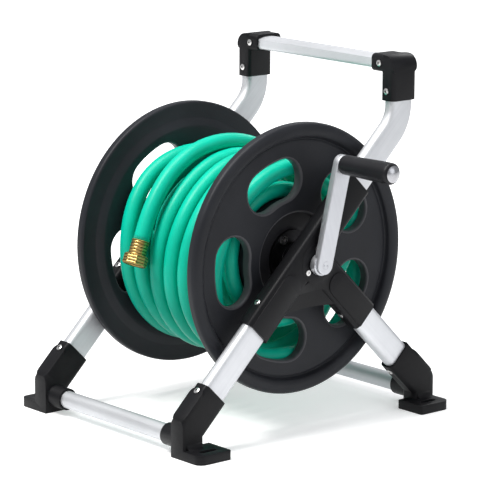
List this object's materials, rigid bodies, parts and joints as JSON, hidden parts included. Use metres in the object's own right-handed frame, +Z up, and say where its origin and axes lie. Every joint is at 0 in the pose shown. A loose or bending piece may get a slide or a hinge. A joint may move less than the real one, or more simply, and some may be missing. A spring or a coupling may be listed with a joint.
{
  "type": "hose reel",
  "caption": "Free-standing garden hose reel: flat-oval tube side frames with a carry handle, windowed flanges, a wound hose and a crank with a turning grip.",
  "frame": {"origin": "on the floor, at the middle of the part's box in X and Y", "axes": "+X along the axle towards the crank, +Y towards the handle, +Z up"},
  "size_m": [0.435, 0.4132, 0.457],
  "materials": {
    "satin_aluminium": "satin anodised, fine lengthwise grain",
    "crank_aluminium": "die cast, satin",
    "frame_plastic": "moulded, fine grain",
    "reel_plastic": "moulded, satin",
    "grip_plastic": "moulded, fine grain",
    "steel": "zinc plated",
    "chrome": "polished",
    "brass": "turned",
    "seal_rubber": "smooth",
    "hose_plastic": "smooth, soft sheen"
  },
  "bodies": {
    "frame": {"front_leg_left": "satin_aluminium", "front_leg_right": "satin_aluminium", "handle_tube_left": "satin_aluminium", "handle_tube_right": "satin_aluminium", "rear_leg_left": "satin_aluminium", "rear_leg_right": "satin_aluminium", "hub_bracket_left": "frame_plastic", "hub_bracket_right": "frame_plastic", "axle_housing_left": "frame_plastic", "axle_housing_right": "frame_plastic", "axle_bush_left": "steel", "axle_bush_right": "steel", "front_foot_left": "frame_plastic", "front_foot_right": "frame_plastic", "rear_foot_left": "frame_plastic", "rear_foot_right": "frame_plastic", "front_cross_tube": "satin_aluminium", "rear_cross_tube": "satin_aluminium", "handle_elbow_left": "frame_plastic", "handle_elbow_right": "frame_plastic", "handle_bar": "satin_aluminium", "elbow_screws": "steel", "foot_screws": "steel", "bracket_screws": "steel", "hub_screws": "steel", "inlet_body": "frame_plastic", "inlet_screws": "steel"},
    "reel": {"flange_left": "reel_plastic", "flange_right": "reel_plastic", "drum": "reel_plastic", "tie_bolts": "steel", "tie_nuts": "steel", "crank_shaft": "steel", "water_spindle": "brass", "spindle_seals": "seal_rubber", "outlet_elbow": "brass", "inner_hose": "hose_plastic", "hose_clamp": "steel", "hose_core": "hose_plastic", "hose_windings": "hose_plastic", "hose_ferrule": "brass", "coupling_stem": "brass", "coupling_washer": "seal_rubber", "crank_arm": "crank_aluminium", "crank_screw": "steel", "grip_bolt": "chrome", "grip_nut": "steel"},
    "grip": {"grip": "grip_plastic"},
    "hose_nut": {"coupling_nut": "brass"}
  },
  "joints": [
    {"name": "reel_spin", "type": "hinge", "parent": "frame", "child": "reel", "pos_m": [-0.03655, 0.0054, 0.212], "axis": [1, 0, 0], "continuous": true},
    {"name": "grip_spin", "type": "hinge", "parent": "reel", "child": "grip", "pos_m": [0.16345, 0.03536, 0.33397], "axis": [1, 0, 0], "continuous": true},
    {"name": "nut_spin", "type": "hinge", "parent": "reel", "child": "hose_nut", "pos_m": [-0.06562, -0.13556, 0.21167], "axis": [0.0589, -0.4015, -0.914], "continuous": true}
  ]
}
